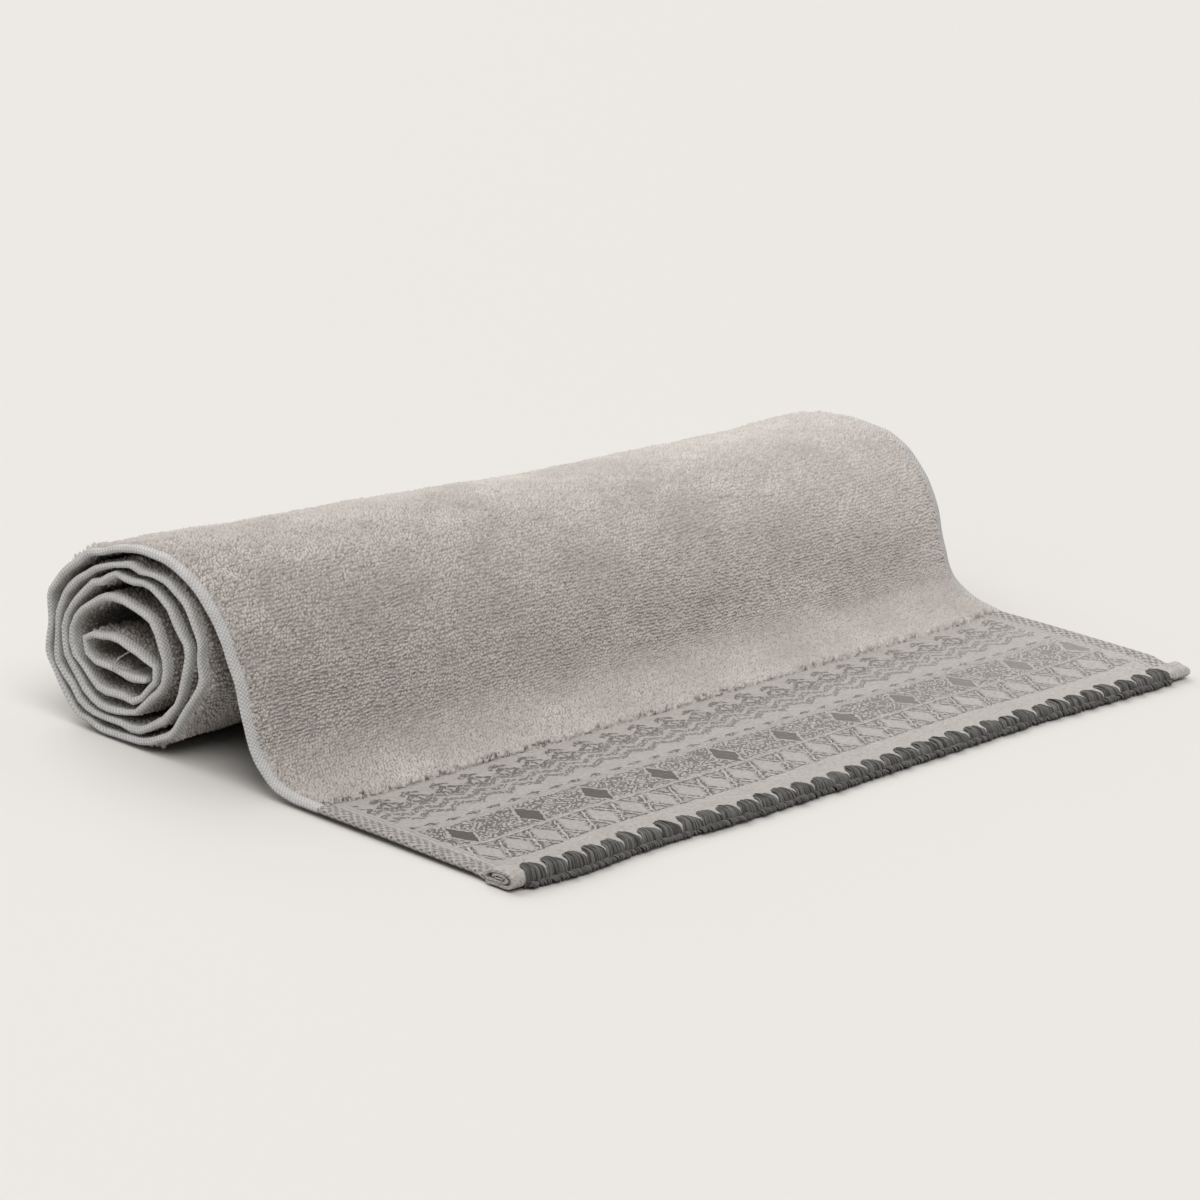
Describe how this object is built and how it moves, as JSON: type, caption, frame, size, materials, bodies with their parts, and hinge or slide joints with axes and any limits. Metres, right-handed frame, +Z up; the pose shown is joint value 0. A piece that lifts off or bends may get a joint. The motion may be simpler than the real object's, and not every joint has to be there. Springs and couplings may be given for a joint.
{
  "type": "rolled hand towel",
  "caption": "Terry hand towel rolled up from its far end, with its woven border drawn off the top of the roll, down its front and out flat, and dark yarn stitched over the border's hem.",
  "frame": {"origin": "on the surface that the towel lies on, under the middle of its bounding box", "axes": "+X along the roll, +Y from the bordered hem towards the roll, +Z up"},
  "size_m": [0.4, 0.2722, 0.0842],
  "materials": {
    "terry_cloth": "matt cotton terry, light warm grey, with flat woven hems and a flat patterned border",
    "edge_yarn": "matt dark grey stitching yarn"
  },
  "bodies": {
    "root": {"towel": "terry_cloth", "edge_stitches": "edge_yarn"}
  },
  "joints": []
}
